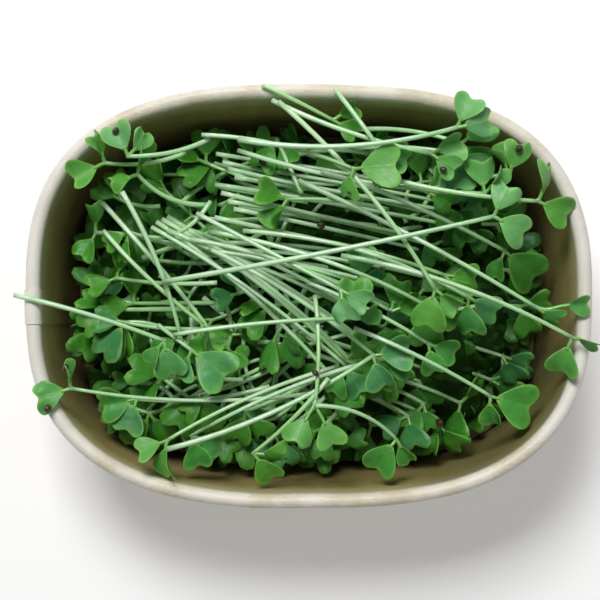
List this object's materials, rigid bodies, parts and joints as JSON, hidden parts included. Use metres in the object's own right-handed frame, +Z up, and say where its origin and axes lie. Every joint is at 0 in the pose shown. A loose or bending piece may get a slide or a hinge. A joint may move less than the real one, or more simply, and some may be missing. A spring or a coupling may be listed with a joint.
{
  "type": "microgreens tray",
  "caption": "Oblong kraft paper bowl with a rolled rim, heaped with cut microgreens: pale stems with heart-shaped seed leaves lying across each other.",
  "frame": {"origin": "centre of the bowl, on the surface it stands on", "axes": "+X along the bowl's length towards the picture's right, +Y across it towards the picture's top, +Z up out of the bowl"},
  "size_m": [0.177, 0.1286, 0.0665],
  "materials": {
    "kraft_wall": "matt unbleached paperboard",
    "kraft_base": "matt unbleached paperboard",
    "sprout_bed": "soft fresh leaf",
    "sprout": "moist fresh leaf and stem"
  },
  "bodies": {
    "root": {"bowl_wall": "kraft_wall", "bowl_base": "kraft_base", "sprout_bed": "sprout_bed", "sprout_01": "sprout", "sprout_02": "sprout", "sprout_03": "sprout", "sprout_04": "sprout", "sprout_05": "sprout", "sprout_06": "sprout", "sprout_07": "sprout", "sprout_08": "sprout", "sprout_09": "sprout", "sprout_10": "sprout", "sprout_11": "sprout", "sprout_12": "sprout", "sprout_13": "sprout", "sprout_14": "sprout", "sprout_15": "sprout", "sprout_16": "sprout", "sprout_17": "sprout", "sprout_18": "sprout", "sprout_19": "sprout", "sprout_20": "sprout", "sprout_21": "sprout", "sprout_22": "sprout", "sprout_23": "sprout", "sprout_24": "sprout", "sprout_25": "sprout", "sprout_26": "sprout", "sprout_27": "sprout", "sprout_28": "sprout", "sprout_29": "sprout", "sprout_30": "sprout", "sprout_31": "sprout", "sprout_32": "sprout", "sprout_33": "sprout", "sprout_34": "sprout", "sprout_35": "sprout", "sprout_36": "sprout", "sprout_37": "sprout", "sprout_38": "sprout", "sprout_39": "sprout", "sprout_40": "sprout", "sprout_41": "sprout", "sprout_42": "sprout", "sprout_43": "sprout", "sprout_44": "sprout", "sprout_45": "sprout", "sprout_46": "sprout"}
  },
  "joints": []
}
